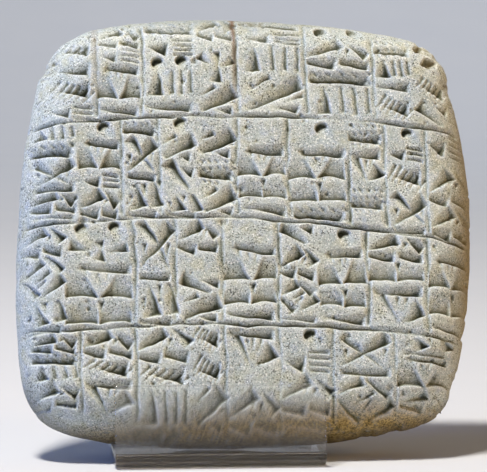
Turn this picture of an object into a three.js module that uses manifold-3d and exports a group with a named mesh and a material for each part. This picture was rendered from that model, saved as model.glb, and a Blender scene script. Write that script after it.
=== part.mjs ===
// A square clay tablet with ruled rows of stylus marks, leaning back in a cradle bent from one strip of clear sheet.
// Millimetres, +Z up, front towards -Y. The origin is on the ground under the middle of the cradle's base.
import * as THREE from "three";
import { mergeVertices } from "three/addons/utils/BufferGeometryUtils.js";
import Module from "manifold-3d";

const wasm = await Module();
wasm.setup();

// Tablet. Its own frame has x to the right, y to the back and z up its face, from the middle of its thickness.
const TABLET_WIDTH = 85;
const TABLET_HEIGHT = 83;
const FRONT_RIM = 8; // thickness of the front half where its rounded rim ends
const FRONT_DOME = 1.4; // how much further the face swells at its middle
const FRONT_ROLL = 9; // width of the front's rounded rim
const BACK_RIM = 8.4;
const BACK_DOME = 3;
const BACK_ROLL = 14;
const LEAN = THREE.MathUtils.degToRad(20);

// The four sides are shallow arcs: the angle they face, and their radius as a share of the tablet's width.
const SIDES = [
  { facing: -2, reach: TABLET_WIDTH / 2, radius: 1.47 * TABLET_WIDTH },
  { facing: 87.8, reach: TABLET_HEIGHT / 2, radius: 1.92 * TABLET_WIDTH },
  { facing: 175.9, reach: TABLET_WIDTH / 2, radius: 2.74 * TABLET_WIDTH },
  { facing: 271.6, reach: TABLET_HEIGHT / 2, radius: 2.17 * TABLET_WIDTH },
];
const CORNER_SOFTNESS = { topLeft: 4.2, topRight: 1.6, bottomRight: 1.5, bottomLeft: 4 };

// Worn spots, as flat cuts: a point on each, in shares of half the width, thickness and height, and the way it faces.
const WORN = [
  { at: [0.62, -0.55, -0.955], facing: [0.3, -0.5, -1] },
  { at: [0.9, -0.6, 0.88], facing: [0.9, -0.75, 0.75] },
];

// Ruling. Five lines bound the four rows; each falls away to its sides and tilts a little.
const TOP_MARGIN = 1.6;
const BOTTOM_MARGIN = 1;
const LINE_TILT = [-0.038, -0.016, -0.051, -0.027, 0];
const LINE_DROP = [9.4, 2.7, 3.1, 2.2, -7.4];
const ROW_MARGIN_LEFT = [1.6, 1.4, 0.8, 1];
const ROW_MARGIN_RIGHT = [1.2, 1, 1, 1.6];
const COLUMN_RULE = [2.2, 0.7]; // width and depth
const ROW_RULE = [1.5, 0.6];
const RULE_GAP_TOP = 0.3; // between a case's upright rule and the lines over and under it
const RULE_GAP_BOTTOM = 0.6;
const LINE_MARGIN_LEFT = 0.6; // between a line's ends and the tablet's edges
const LINE_MARGIN_RIGHT = 1.2;
const CASE_INSET = 0.5;
const MARK_GAP = 0.15;

// Stylus marks.
const STYLUS_WIDTH = 2.4; // the tip's width; the strokes' widths are shares of it
const MARK_DEPTH = 0.46; // depth of a mark as a share of its width
const DEEPEST_MARK = 1.4;
const HEAD_SLOPE = 0.14; // where a mark is deepest, as a share of its length from its head
const TAIL_SLOPE = 0.1;
const RIDGE_ASIDE = 0.38; // and how far towards its steep side, as a share of its width
const HOLE_RADIUS = 1.25;
const HOLE_DEPTH = 1.7;
const HOLE_SIDES = 9;
const FINEST_MARK = 2.5; // narrower marks aren't cut here
const EDGE_MARGIN = 2.2; // nor any that come nearer to the outline
const CUT_CLEARANCE = 0.5; // how far each cutter stands out of the face
const SHAKE = 0.35; // unevenness of the hand
const SLIVER = 0.04; // anything thinner between marks is taken off

// Cradle, from one strip: a lip in front, a base, a rest that leans with the tablet, and a strut behind.
const STRIP_WIDTH = 38.2;
const STRIP_THICKNESS = 1.5;
const LIP_HEIGHT = 14.7;
const FOLD_CORNER_HEIGHT = 46; // where the rest and the strut would meet if their fold weren't rounded
const STRUT_REACH = 30; // from the base's back bend to the strut's foot
const BEND_RADIUS = 3; // at the middle of the strip's thickness
const FOLD_RADIUS = 4;
const BEND_STEPS = 6;
const SEAT_GAP = 0.3;
const TABLET_OFFSET = 6.4; // the tablet sits this far to the right of the cradle's middle

const toRadians = THREE.MathUtils.degToRad;
const halfWidth = TABLET_WIDTH / 2;
const halfHeight = TABLET_HEIGHT / 2;

// Negative inside the outline, about the distance to it in millimetres.
function outlineField(x, z) {
  const gaps = SIDES.map(({ facing, reach, radius }) => {
    const a = toRadians(facing);
    return Math.hypot(x - (reach - radius) * Math.cos(a), z - (reach - radius) * Math.sin(a)) - radius;
  });
  const u = THREE.MathUtils.clamp(x / TABLET_WIDTH + 0.5, 0, 1);
  const v = THREE.MathUtils.clamp(z / TABLET_HEIGHT + 0.5, 0, 1);
  const softness =
    CORNER_SOFTNESS.topLeft * (1 - u) * v +
    CORNER_SOFTNESS.topRight * u * v +
    CORNER_SOFTNESS.bottomRight * u * (1 - v) +
    CORNER_SOFTNESS.bottomLeft * (1 - u) * (1 - v);
  const largest = Math.max(...gaps);
  const sum = gaps.reduce((total, gap) => total + Math.exp((gap - largest) / softness), 0);
  return largest + softness * Math.log(sum);
}

// Distance from the middle to the line that lies `inset` inside the outline, in direction `angle`.
function radiusAt(angle, inset) {
  let low = 0;
  let high = TABLET_WIDTH;
  for (let i = 0; i < 40; i++) {
    const middle = (low + high) / 2;
    if (outlineField(middle * Math.cos(angle), middle * Math.sin(angle)) < -inset) low = middle;
    else high = middle;
  }
  return low;
}

// Height of the domed part of one half, before its rim rolls off.
const swell = (x, z, rim, dome) => rim + dome * (1 - 0.5 * ((x / halfWidth) ** 2 + (z / halfHeight) ** 2));

// The face's y at a point of the tablet's plane.
function faceY(x, z) {
  const t = THREE.MathUtils.clamp(-outlineField(x, z) / FRONT_ROLL, 0, 1);
  return -swell(x, z, FRONT_RIM, FRONT_DOME) * Math.sqrt(1 - (1 - t) ** 2);
}

function faceNormal(x, z) {
  const step = 0.2;
  const slopeX = (faceY(x + step, z) - faceY(x - step, z)) / (2 * step);
  const slopeZ = (faceY(x, z + step) - faceY(x, z - step)) / (2 * step);
  return new THREE.Vector3(slopeX, -1, slopeZ).normalize();
}

function toManifold(geometry) {
  const bare = geometry.clone();
  bare.deleteAttribute("normal");
  bare.deleteAttribute("uv");
  const merged = mergeVertices(bare, 1e-5);
  return new wasm.Manifold(
    new wasm.Mesh({
      numProp: 3,
      vertProperties: merged.attributes.position.array,
      triVerts: new Uint32Array(merged.index.array),
    }),
  );
}

function toGeometry(solid) {
  const mesh = solid.getMesh();
  const positions = new Float32Array(mesh.numVert * 3);
  for (let i = 0; i < mesh.numVert; i++) {
    for (let axis = 0; axis < 3; axis++) positions[3 * i + axis] = mesh.vertProperties[mesh.numProp * i + axis];
  }
  return new THREE.BufferGeometry()
    .setAttribute("position", new THREE.BufferAttribute(positions, 3))
    .setIndex(new THREE.BufferAttribute(mesh.triVerts, 1));
}

function indexed(points, faces) {
  return new THREE.BufferGeometry()
    .setAttribute("position", new THREE.Float32BufferAttribute(points.flatMap((p) => p.toArray()), 3))
    .setIndex(faces);
}

// A closed solid from points and faces, turned so that its faces point outwards.
function outwards(points, faces) {
  const turned = [];
  for (let i = 0; i < faces.length; i += 3) turned.push(faces[i], faces[i + 2], faces[i + 1]);
  const solid = toManifold(indexed(points, faces));
  return solid.volume() > 0 ? solid : toManifold(indexed(points, turned));
}

// The plain pillow: rings of points from the middle of the back, round the rim, to the middle of the face.
function pillow() {
  const around = 48;
  const cornerCrowding = 0.6;
  const angles = Array.from({ length: around }, (_, i) => {
    const t = (i / around) * 2 * Math.PI;
    return t + (cornerCrowding / 4) * Math.sin(4 * t);
  });
  const ring = (sign, rim, dome, roll, rise, share = 1) =>
    angles.map((angle) => {
      const r = share * radiusAt(angle, roll * (1 - Math.cos(rise)));
      const x = r * Math.cos(angle);
      const z = r * Math.sin(angle);
      return new THREE.Vector3(x, sign * swell(x, z, rim, dome) * Math.sin(rise), z);
    });
  const back = (rise, share) => ring(1, BACK_RIM, BACK_DOME, BACK_ROLL, toRadians(rise), share);
  const front = (rise, share) => ring(-1, FRONT_RIM, FRONT_DOME, FRONT_ROLL, toRadians(rise), share);
  const rings = [
    back(90, 0.5),
    back(90),
    back(62),
    back(40),
    back(20),
    front(0),
    front(18),
    front(36),
    front(56),
    front(90),
    front(90, 0.55),
  ];
  const points = rings.flat();
  const backPole = points.push(new THREE.Vector3(0, BACK_RIM + BACK_DOME, 0)) - 1;
  const facePole = points.push(new THREE.Vector3(0, -FRONT_RIM - FRONT_DOME, 0)) - 1;
  const faces = [];
  for (let i = 0; i < around; i++) {
    const j = (i + 1) % around;
    faces.push(backPole, j, i);
    for (let k = 0; k + 1 < rings.length; k++) {
      const a = k * around;
      const b = a + around;
      faces.push(a + i, a + j, b + j, a + i, b + j, b + i);
    }
    const last = (rings.length - 1) * around;
    faces.push(facePole, last + i, last + j);
  }
  return toManifold(indexed(points, faces));
}

function wornCut({ at, facing }) {
  const size = TABLET_WIDTH;
  const normal = new THREE.Vector3(...facing).normalize();
  const point = new THREE.Vector3(at[0] * halfWidth, at[1] * (FRONT_RIM + FRONT_DOME), at[2] * halfHeight);
  const box = new THREE.BoxGeometry(size, size, size);
  const turn = new THREE.Quaternion().setFromUnitVectors(new THREE.Vector3(0, 0, 1), normal);
  box.applyQuaternion(turn);
  box.translate(...point.addScaledVector(normal, size / 2).toArray());
  return toManifold(box);
}

// The marks press in from the upper left: their long wall lies on that side, and their steep wall opposite.
function steepSide(dx, dz) {
  const length = Math.hypot(dx, dz);
  const side = { x: dz / length, z: -dx / length };
  return side.x - side.z > 0 ? side : { x: -side.x, z: -side.z };
}

// One stylus mark: a dent with a broad and a steep wall, widest at its head and narrower at its tail.
function dent({ x0, z0, x1, z1, width, tail }) {
  const depth = Math.min(width * MARK_DEPTH, DEEPEST_MARK);
  const side = steepSide(x1 - x0, z1 - z0);
  const at = (along, aside, down = 0) => {
    const reach = aside * width * (1 - along * (1 - tail));
    const x = x0 + along * (x1 - x0) + reach * side.x;
    const z = z0 + along * (z1 - z0) + reach * side.z;
    return new THREE.Vector3(x, faceY(x, z) + down, z);
  };
  const raised = (corner, bottom, down) => bottom.clone().lerp(corner, 1 + CUT_CLEARANCE / down);
  const bottom = at(HEAD_SLOPE, RIDGE_ASIDE, depth);
  const headCorners = [at(0, -0.5), at(0, 0.5)].map((corner) => raised(corner, bottom, depth));
  if (tail === 0) {
    const tip = raised(at(1, 0), bottom, depth);
    return outwards([bottom, ...headCorners, tip], [1, 2, 3, 0, 2, 1, 0, 3, 2, 0, 1, 3]);
  }
  const along = 1 - TAIL_SLOPE;
  const shallow = (depth * (1 - along * (1 - tail))) / (1 - HEAD_SLOPE * (1 - tail));
  const end = at(along, RIDGE_ASIDE, shallow);
  const tailCorners = [at(1, -0.5), at(1, 0.5)].map((corner) => raised(corner, end, shallow));
  const walls = [0, 2, 4, 0, 4, 1, 0, 5, 3, 0, 1, 5, 0, 3, 2, 1, 4, 5];
  return outwards([bottom, end, ...headCorners, ...tailCorners], [...walls, 2, 3, 5, 2, 5, 4]);
}

// A round hole from the stylus's butt end.
function hole({ x, z }) {
  const points = [];
  const top = faceY(x, z) - CUT_CLEARANCE;
  const floor = faceY(x, z) + HOLE_DEPTH;
  for (let i = 0; i < HOLE_SIDES; i++) {
    const a = (i / HOLE_SIDES) * 2 * Math.PI;
    points.push(new THREE.Vector3(x + HOLE_RADIUS * Math.cos(a), top, z + HOLE_RADIUS * Math.sin(a)));
  }
  const tip = points.push(new THREE.Vector3(x, floor, z)) - 1;
  const lid = points.push(new THREE.Vector3(x, top, z)) - 1;
  const waist = points.length;
  const waistY = floor - HOLE_DEPTH / 4;
  for (let i = 0; i < HOLE_SIDES; i++) {
    points.push(points[i].clone().lerp(points[tip], 0.2).setY(waistY));
  }
  const faces = [];
  for (let i = 0; i < HOLE_SIDES; i++) {
    const j = (i + 1) % HOLE_SIDES;
    faces.push(lid, i, j);
    faces.push(i, waist + i, waist + j, i, waist + j, j);
    faces.push(waist + i, tip, waist + j);
  }
  return toManifold(indexed(points, faces));
}

// A ruled line along a path of points on the face, a groove with the same broad and steep walls.
function ruledLine(path, [width, depth]) {
  const side = steepSide(path.at(-1)[0] - path[0][0], path.at(-1)[1] - path[0][1]);
  const points = path.flatMap(([x, z]) => {
    const normal = faceNormal(x, z);
    const surface = new THREE.Vector3(x, faceY(x, z), z);
    const aside = new THREE.Vector3(side.x, 0, side.z);
    aside.addScaledVector(normal, -aside.dot(normal)).normalize();
    const spread = 1 + CUT_CLEARANCE / depth;
    const at = (across, out) => surface.clone().addScaledVector(aside, across).addScaledVector(normal, out);
    const deep = 0.2 * width;
    return [
      at(deep - 0.8 * width * spread, CUT_CLEARANCE),
      at(deep + 0.2 * width * spread, CUT_CLEARANCE),
      at(deep, -depth),
    ];
  });
  const faces = [0, 1, 2];
  for (let i = 0; i + 1 < path.length; i++) {
    for (let j = 0; j < 3; j++) {
      const a = 3 * i + j;
      const b = 3 * i + ((j + 1) % 3);
      faces.push(a, a + 3, b + 3, a, b + 3, b);
    }
  }
  const last = 3 * (path.length - 1);
  faces.push(last, last + 2, last + 1);
  return outwards(points, faces);
}

// A small repeatable unevenness for the n-th number asked for, from -0.5 to 0.5.
const uneven = (n) => {
  const value = Math.sin(n * 12.9898) * 43758.5453;
  return value - Math.floor(value) - 0.5;
};

// Each mark is drawn in the unit square of its place in a case. A stroke is its head, its tail, its head's width in
// stylus widths and the tail's share of that width. A pair of numbers is a round hole.
const marks = {
  gap: () => [],
  slab: (height) => stacked(height, 1.7, 0.98, 0, 1.7),
  ladder: (height) => stacked(height, 0.95, 0.98, 0),
  arches: (height) => [...stacked(height, 1.3, 0.49, 0.51), ...stacked(height, 1.3, 0.49, 0)],
  hatch: () => [[1, 0.4, 0, 0.5, 1.2, 0.8]],
  vee: () => [
    [1, 0.86, 0.2, 0.92, 1.1, 0.6],
    [0.12, 0.94, 0.5, 0.04, 1.3, 0],
    [0.26, 0.02, 0.2, 0.5, 1.5, 0],
    [0.8, 0.02, 0.98, 0.8, 1.8, 0],
  ],
  tent: () => [
    [0.55, 0.94, 0, 0.36, 1.4, 0.2],
    [0.98, 0.42, 0.6, 0.98, 1.35, 0],
    [0.48, 0.14, 0.02, 0.24, 1.1, 0.6],
    [0.98, 0.12, 0.52, 0.24, 1.1, 0.6],
  ],
  cross: () => [
    [0.96, 0.94, 0.08, 0.16, 1.4, 0.2],
    [0.14, 0.96, 0.9, 0.1, 1, 0.3],
    [0.98, 0.04, 0.1, 0.06, 0.9, 0.7],
  ],
  sweep: () => [
    [0.98, 0.9, 0.06, 0.16, 1.65, 0.4],
    [0.9, 0.12, 0.4, 0.2, 1, 0],
  ],
  fall: () => [
    [0.12, 0.98, 0.8, 0.06, 1.4, 0.3],
    [0.98, 0.7, 0.5, 0.86, 1, 0],
  ],
  kite: () => [
    [0.98, 0.86, 0.04, 0.9, 1.1, 0.5],
    [0.14, 0.86, 0.52, 0.02, 1, 0.1],
    [0.92, 0.5, 0.5, 0.1, 1.65, 0],
  ],
  wedge: (height) => [[0.94, 0.5, 0.04, 0.56, 1.1 * height / STYLUS_WIDTH, 0]],
  lozenge: () => [
    [0.5, 0.96, 0.03, 0.54, 1.15, 0.2],
    [0.96, 0.56, 0.54, 0.98, 1, 0.4],
    [0.46, 0.04, 0.04, 0.48, 0.9, 0.4],
    [0.97, 0.5, 0.52, 0.04, 1.35, 0.2],
  ],
  posts: () => [
    [0.28, 0.02, 0.26, 0.98, 1.15, 0.6],
    [0.6, 0.04, 0.58, 0.96, 1, 0.7],
    [0.92, 0.02, 0.9, 0.98, 1.1, 0.6],
  ],
  sprig: () => [
    [0.5, 0.98, 0.52, 0.5, 0.9, 0.2],
    [0.06, 0.84, 0.46, 0.5, 1.1, 0],
    [0.96, 0.74, 0.58, 0.46, 1.1, 0],
    [0.5, 0.04, 0.54, 0.6, 1.25, 0.1],
  ],
  foot: () => [
    [0.44, 0.12, 0.34, 0.98, 1.6, 0],
    [0.94, 0.16, 0.84, 0.96, 1.4, 0.3],
    [0.98, 0.02, 0.1, 0.06, 0.9, 0.5],
  ],
  comb: () => [[0.9, 0.5, 0.1, 0.62, 1.6, 0]],
  hole: () => [[0.6, 0.62]],
  holes: () => [
    [0.26, 0.6],
    [0.76, 0.64],
  ],
};

function stacked(height, pitch, share, start, widest = 1.4) {
  const count = Math.max(1, Math.floor(height / (pitch * STYLUS_WIDTH) + 0.5));
  const width = Math.min((1.25 * height) / (count * STYLUS_WIDTH), widest);
  return Array.from({ length: count }, (_, i) => {
    const v = 1 - (i + 0.6) / count;
    return [start + share, v - 0.02, start + 0.02, v + 0.03, width, 0.7];
  });
}

// Rows of cases from left to right: each case's width and its marks from the top down with their heights. Widths and
// heights are shares of what the row and the case have. A case that starts with "open" has no line ruled before it.
const ROWS = [
  [
    [9, "comb 5 wedge 3 comb 5 ladder 3"],
    [8.7, "tent 5 ladder 3 vee 7 slab 3"],
    [9.9, "hatch 4 ladder 4 holes 2 posts 5 slab 3"],
    [7.5, "open tent 5 gap 2 sprig 6 sweep 5"],
    [12.7, "slab 3 ladder 3 posts 5 sweep 7"],
    [12.7, "holes 3 tent 6 hatch 3 posts 6"],
    [7.4, "hatch 5 posts 4 slab 3 comb 6"],
    [7.1, "open gap 5 comb 5 fall 5"],
  ],
  [
    [9.3, "posts 3 hatch 3 cross 6 tent 4 slab 2"],
    [8.1, "open hole 3 vee 6 ladder 3 tent 5"],
    [6.7, "hatch 3 cross 7 foot 6"],
    [6.9, "hole 3 sweep 5 fall 6 foot 4"],
    [7.1, "open gap 2 sweep 5 hatch 5 sweep 5"],
    [9.7, "gap 5 vee 6 arches 4 slab 3"],
    [10.8, "hole 5 vee 6 arches 4 hatch 3"],
    [7, "hatch 4 kite 6 hatch 4 gap 2"],
    [7.9, "hole 3 ladder 3 comb 5 cross 6"],
    [8.3, "ladder 4 gap 2 tent 6 tent 5"],
  ],
  [
    [8.3, "tent 5 lozenge 7 foot 5"],
    [12.4, "open holes 3 sprig 4 vee 6 arches 4"],
    [7.5, "cross 9 foot 6"],
    [8.7, "tent 6 gap 4 fall 3 sweep 5"],
    [10.2, "gap 4 vee 7 arches 4 slab 3"],
    [7, "fall 4 tent 6 lozenge 6 slab 2"],
    [9.1, "open hole 4 vee 7 arches 4 slab 3"],
    [11.2, "tent 5 arches 4 kite 8"],
    [8.6, "gap 2 vee 6 arches 4 slab 3"],
  ],
  [
    [9.5, "tent 4 hatch 3 posts 4 tent 5"],
    [9.8, "tent 5 comb 4 kite 7"],
    [9.9, "tent 6 comb 4 posts 6"],
    [6, "open comb 4 comb 4 sweep 6"],
    [9.8, "kite 7 gap 2 tent 6"],
    [9.6, "hole 3 ladder 4 tent 6 slab 2"],
    [11.6, "cross 8 lozenge 8"],
    [10.8, "foot 4 vee 8 tent 4"],
  ],
];

function lineZ(line, x) {
  const top = halfHeight - TOP_MARGIN;
  const bottom = BOTTOM_MARGIN - halfHeight;
  const z = top + ((bottom - top) * line) / ROWS.length;
  return z + LINE_TILT[line] * x - LINE_DROP[line] * (x / halfWidth) ** 2;
}

// The outline's left (sign -1) or right (sign 1) edge at a height.
function edgeX(z, sign) {
  let inside = 0;
  let outside = TABLET_WIDTH * sign;
  for (let i = 0; i < 40; i++) {
    const middle = (inside + outside) / 2;
    if (outlineField(middle, z) < 0) inside = middle;
    else outside = middle;
  }
  return inside;
}

function inscription() {
  const cutters = [];
  let n = 0;
  ROWS.forEach((cases, row) => {
    const middle = (lineZ(row, 0) + lineZ(row + 1, 0)) / 2;
    const left = edgeX(middle, -1) + ROW_MARGIN_LEFT[row];
    const right = edgeX(middle, 1) - ROW_MARGIN_RIGHT[row];
    const total = cases.reduce((sum, [width]) => sum + width, 0);
    let start = left;
    cases.forEach(([width, words], index) => {
      const end = start + ((right - left) * width) / total;
      const list = words.split(" ");
      const ruled = list[0] !== "open" && index > 0;
      if (list[0] === "open") list.shift();
      if (ruled) {
        const top = lineZ(row, start) - RULE_GAP_TOP;
        const bottom = lineZ(row + 1, start) + RULE_GAP_BOTTOM;
        const path = [0, 0.5, 1].map((t) => [start + SHAKE * uneven(++n), top + (bottom - top) * t]);
        cutters.push(ruledLine(path, COLUMN_RULE));
      }
      cutters.push(...caseMarks(list, start, end, row, () => SHAKE * uneven(++n)));
      start = end;
    });
  });
  for (let line = 1; line < ROWS.length; line++) {
    const steps = 6;
    const left = edgeX(lineZ(line, -halfWidth), -1) + LINE_MARGIN_LEFT;
    const right = edgeX(lineZ(line, halfWidth), 1) - LINE_MARGIN_RIGHT;
    const path = Array.from({ length: steps + 1 }, (_, i) => {
      const x = left + ((right - left) * i) / steps;
      return [x, lineZ(line, x)];
    });
    cutters.push(ruledLine(path, ROW_RULE));
  }
  return cutters;
}

function caseMarks(list, start, end, row, shake) {
  const cutters = [];
  const middle = (start + end) / 2;
  const top = lineZ(row, middle) - CASE_INSET;
  const bottom = lineZ(row + 1, middle) + CASE_INSET;
  let heights = 0;
  for (let i = 1; i < list.length; i += 2) heights += Number(list[i]);
  let from = top;
  for (let i = 0; i < list.length; i += 2) {
    const to = from + ((bottom - top) * Number(list[i + 1])) / heights;
    const place = { top: from - MARK_GAP, bottom: to + MARK_GAP };
    const x = (u) => start + CASE_INSET + u * (end - start - 1.4 * CASE_INSET);
    const z = (v) => place.bottom + v * (place.top - place.bottom);
    for (const mark of marks[list[i]](place.top - place.bottom)) {
      if (mark.length === 2) {
        cutters.push(hole({ x: x(mark[0]) + shake(), z: z(mark[1]) + shake() }));
        continue;
      }
      const [u0, v0, u1, v1, widths, tail] = mark;
      const width = widths * STYLUS_WIDTH;
      const head = { x0: x(u0) + shake(), z0: z(v0) + shake() };
      const stroke = { ...head, x1: x(u1) + shake(), z1: z(v1) + shake(), width, tail };
      const clear = (x, z) => outlineField(x, z) < -EDGE_MARGIN;
      const inside = clear(stroke.x0, stroke.z0) && clear(stroke.x1, stroke.z1);
      if (inside && width >= FINEST_MARK) cutters.push(dent(stroke));
    }
    from = to;
  }
  return cutters;
}

// The tablet without the slivers and crumbs that neighbouring marks leave between them.
function tabletGeometry() {
  const cuts = [...WORN.map(wornCut), ...inscription()];
  const pieces = cuts.reduce((solid, cut) => solid.subtract(cut), pillow()).simplify(SLIVER).decompose();
  return toGeometry(pieces.reduce((a, b) => (a.volume() > b.volume() ? a : b)));
}

// A line through corners in the y-z plane with each inner corner rounded; gives points with their headings.
function bentPath(corners, radii) {
  const path = [];
  corners.forEach((corner, i) => {
    if (i === 0 || i === corners.length - 1) {
      const other = corners[i === 0 ? 1 : i - 1];
      const heading = i === 0 ? other.clone().sub(corner) : corner.clone().sub(other);
      path.push({ point: corner, heading: heading.normalize() });
      return;
    }
    const into = corner.clone().sub(corners[i - 1]).normalize();
    const out = corners[i + 1].clone().sub(corner).normalize();
    const turn = Math.atan2(into.cross(out), into.dot(out));
    const radius = radii[i - 1];
    const start = corner.clone().addScaledVector(into, -radius * Math.tan(Math.abs(turn) / 2));
    const toCentre = new THREE.Vector2(-into.y, into.x).multiplyScalar(Math.sign(turn) * radius);
    const centre = start.clone().add(toCentre);
    for (let k = 0; k <= BEND_STEPS; k++) {
      const angle = (turn * k) / BEND_STEPS;
      const point = start.clone().rotateAround(centre, angle);
      path.push({ point, heading: into.clone().rotateAround(new THREE.Vector2(), angle) });
    }
  });
  return path;
}

// Where the tablet stands: its middle's height, found from its lowest point once it leans.
function seatedHeight(geometry) {
  const leaning = geometry.clone().applyMatrix4(new THREE.Matrix4().makeRotationX(-LEAN));
  leaning.computeBoundingBox();
  return STRIP_THICKNESS + SEAT_GAP - leaning.boundingBox.min.z;
}

// The strip's middle line on one side of the tablet, `away` from its mid-plane, at a height.
const besideTablet = (away, height, seat) =>
  new THREE.Vector2((away + (height - seat) * Math.sin(LEAN)) / Math.cos(LEAN), height);

function cradlePath(seat) {
  const half = STRIP_THICKNESS / 2;
  const front = -(FRONT_RIM + FRONT_DOME + SEAT_GAP + half);
  const back = BACK_RIM + BACK_DOME + SEAT_GAP + half;
  const heel = besideTablet(back, half, seat);
  return [
    besideTablet(front, LIP_HEIGHT, seat),
    besideTablet(front, half, seat),
    heel,
    besideTablet(back, FOLD_CORNER_HEIGHT, seat),
    new THREE.Vector2(heel.x + STRUT_REACH, 0),
  ];
}

function cradleGeometry(corners) {
  const path = bentPath(corners, [BEND_RADIUS, BEND_RADIUS, FOLD_RADIUS]);
  const side = (sign) =>
    path.map(({ point, heading }) => {
      const across = new THREE.Vector2(-heading.y, heading.x).multiplyScalar((sign * STRIP_THICKNESS) / 2);
      return point.clone().add(across);
    });
  const left = side(1);
  const right = side(-1);
  // The strut's foot is cut level with the ground.
  for (const edge of [left, right]) {
    const foot = edge.at(-1);
    const { heading } = path.at(-1);
    foot.addScaledVector(heading, -foot.y / heading.y);
  }
  const shape = new THREE.Shape([...left, ...right.reverse()]);
  const geometry = new THREE.ExtrudeGeometry(shape, { depth: STRIP_WIDTH, bevelEnabled: false });
  // The outline lies in x-y and is pushed along z: turn it to y-z, pushed along x.
  const turn = new THREE.Matrix4().set(0, 0, 1, -STRIP_WIDTH / 2, 1, 0, 0, 0, 0, 1, 0, 0, 0, 0, 0, 1);
  return toGeometry(toManifold(geometry.applyMatrix4(turn)));
}

function build() {
  const group = new THREE.Group();
  const tabletShape = tabletGeometry();
  const seat = seatedHeight(tabletShape);
  const corners = cradlePath(seat);
  const baseMiddle = (corners[1].x + corners[2].x) / 2;

  const clay = new THREE.MeshStandardMaterial({ color: 0xb9bcae, roughness: 0.9, metalness: 0 });
  const tablet = new THREE.Mesh(tabletShape, clay);
  tablet.name = "tablet";
  tablet.position.set(TABLET_OFFSET, -baseMiddle, seat);
  tablet.rotation.x = -LEAN;

  const acrylic = new THREE.MeshStandardMaterial({
    color: 0xe6eaea,
    roughness: 0.06,
    metalness: 0,
    transparent: true,
    opacity: 0.3,
  });
  const cradle = new THREE.Mesh(cradleGeometry(corners), acrylic);
  cradle.name = "cradle";
  cradle.position.y = -baseMiddle;

  group.add(tablet, cradle);
  return group;
}

export default build();
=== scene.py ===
import math

import bmesh
import bpy
import numpy as np
from mathutils import Matrix, Vector


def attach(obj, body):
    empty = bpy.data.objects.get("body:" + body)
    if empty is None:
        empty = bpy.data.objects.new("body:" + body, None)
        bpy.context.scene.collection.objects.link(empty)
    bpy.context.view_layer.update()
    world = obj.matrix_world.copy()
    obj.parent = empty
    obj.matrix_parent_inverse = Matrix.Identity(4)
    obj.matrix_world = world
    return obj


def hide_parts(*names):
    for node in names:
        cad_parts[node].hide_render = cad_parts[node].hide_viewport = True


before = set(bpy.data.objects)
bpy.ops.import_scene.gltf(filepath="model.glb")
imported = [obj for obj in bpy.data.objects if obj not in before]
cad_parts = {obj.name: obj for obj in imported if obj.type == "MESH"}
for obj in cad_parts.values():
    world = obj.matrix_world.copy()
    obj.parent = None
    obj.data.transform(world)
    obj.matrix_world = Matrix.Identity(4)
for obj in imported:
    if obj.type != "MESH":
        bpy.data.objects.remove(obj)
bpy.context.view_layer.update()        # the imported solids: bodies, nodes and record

# A square clay tablet with ruled rows of stylus marks, leaning back in a cradle bent from clear acrylic sheet.
# Sizes are in millimetres until a mesh is made. The tablet's own frame has x to the right, y to the back and
# z up its face, from the middle of its thickness.
MM = 0.001

# Tablet
TABLET_WIDTH = 85
TABLET_HEIGHT = 83
FRONT_RIM = 8
FRONT_DOME = 1.4
FRONT_ROLL = 9
BACK_RIM = 8.4
BACK_DOME = 3
BACK_ROLL = 14
LEAN = math.radians(20)
# The four sides are shallow arcs: the angle each one faces, its distance from the middle and its radius.
SIDES = (
    (-2, TABLET_WIDTH / 2, 1.47 * TABLET_WIDTH),
    (87.8, TABLET_HEIGHT / 2, 1.92 * TABLET_WIDTH),
    (175.9, TABLET_WIDTH / 2, 2.74 * TABLET_WIDTH),
    (271.6, TABLET_HEIGHT / 2, 2.17 * TABLET_WIDTH),
)
CORNER_SOFTNESS = {"top_left": 4.2, "top_right": 1.6, "bottom_right": 1.5, "bottom_left": 4}

# Ruling
TOP_MARGIN = 1.6
BOTTOM_MARGIN = 1
LINE_TILT = (-0.038, -0.016, -0.051, -0.027, 0)
LINE_DROP = (9.4, 2.7, 3.1, 2.2, -7.4)
ROW_MARGIN_LEFT = (1.6, 1.4, 0.8, 1)
ROW_MARGIN_RIGHT = (1.2, 1, 1, 1.6)
COLUMN_RULE = (1.6, 0.44)
ROW_RULE = (1.3, 0.6)
RULE_GAP_TOP = 0.3
RULE_GAP_BOTTOM = 0.6
LINE_MARGIN_LEFT = 0.6
LINE_MARGIN_RIGHT = 1.2
CASE_INSET = 0.3
TOP_ROW_REACH = 1.4
SIDE_REACH = 0.6
MARK_GAP = 0.15

# Stylus marks
STYLUS_WIDTH = 2.4
MARK_DEPTH = 0.46
DEEPEST_MARK = 1.7
FINE_SHARE = 1.25
HEAD_SLOPE = 0.14
TAIL_SLOPE = 0.1
RIDGE_ASIDE = 0.38
WALL_CURVE = 1.5
LOBE_DEPTH = 1.25
LOBE_STEP = 0.3
LOBE_ROUND = 0.55
FOOT_ARCH = 0.5
STEEP_WALL = 1
HOLE_RADIUS = 1.25
HOLE_DEPTH = 1.7
HOLE_TRAIL = 2.4
SHAKE = 0.35

# Meshes and maps
FACE_CELLS = 720
BACK_CELLS = FACE_CELLS // 4
MAP_CELL = 0.1
MAP_HALF = 46
TRIANGLE_BUDGET = 186000
SHARP_ANGLE = math.radians(38)

# Cradle
STRIP_WIDTH = 38.2
STRIP_THICKNESS = 1.5
LIP_HEIGHT = 14.7
FOLD_CORNER_HEIGHT = 46
STRUT_REACH = 30
BEND_RADIUS = 3
FOLD_RADIUS = 4
BEND_STEPS = 14
SEAT_GAP = 0.3
TABLET_OFFSET = 6.4
EDGE_BEVEL = 0.25
# Below this height the base in front of the heel takes the painted shade.
PAINTED_SHADE_HEIGHT = 2.6

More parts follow.
